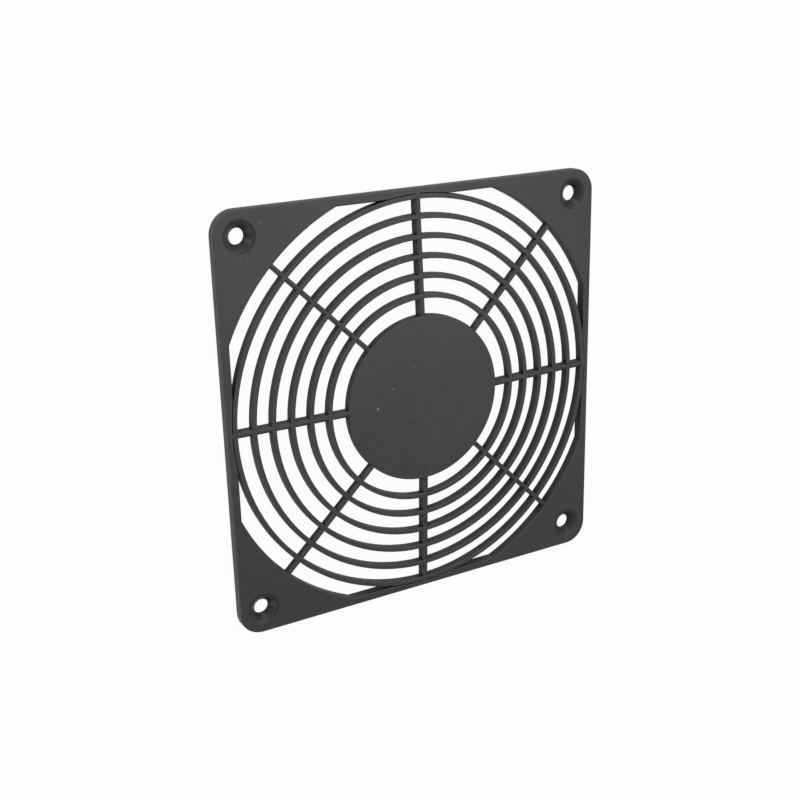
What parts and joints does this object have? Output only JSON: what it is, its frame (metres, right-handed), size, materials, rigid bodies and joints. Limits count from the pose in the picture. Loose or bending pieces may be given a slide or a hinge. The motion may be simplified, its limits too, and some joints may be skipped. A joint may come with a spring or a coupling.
{
  "type": "fan finger guard",
  "caption": "Square moulded plastic finger guard for an axial fan, with countersunk corner screw holes and a shallow domed grille of concentric rings and spokes round a plain hub disc.",
  "frame": {"origin": "centre of the square frame, on its flat mounting face", "axes": "+Z out of the fan, along the fan's axis, towards the front of the guard; X and Y along the sides of the frame"},
  "size_m": [0.119, 0.119, 0.0043],
  "materials": {
    "charcoal_plastic": "fine matte texture, as moulded"
  },
  "bodies": {
    "root": {"finger_guard": "charcoal_plastic"}
  },
  "joints": []
}
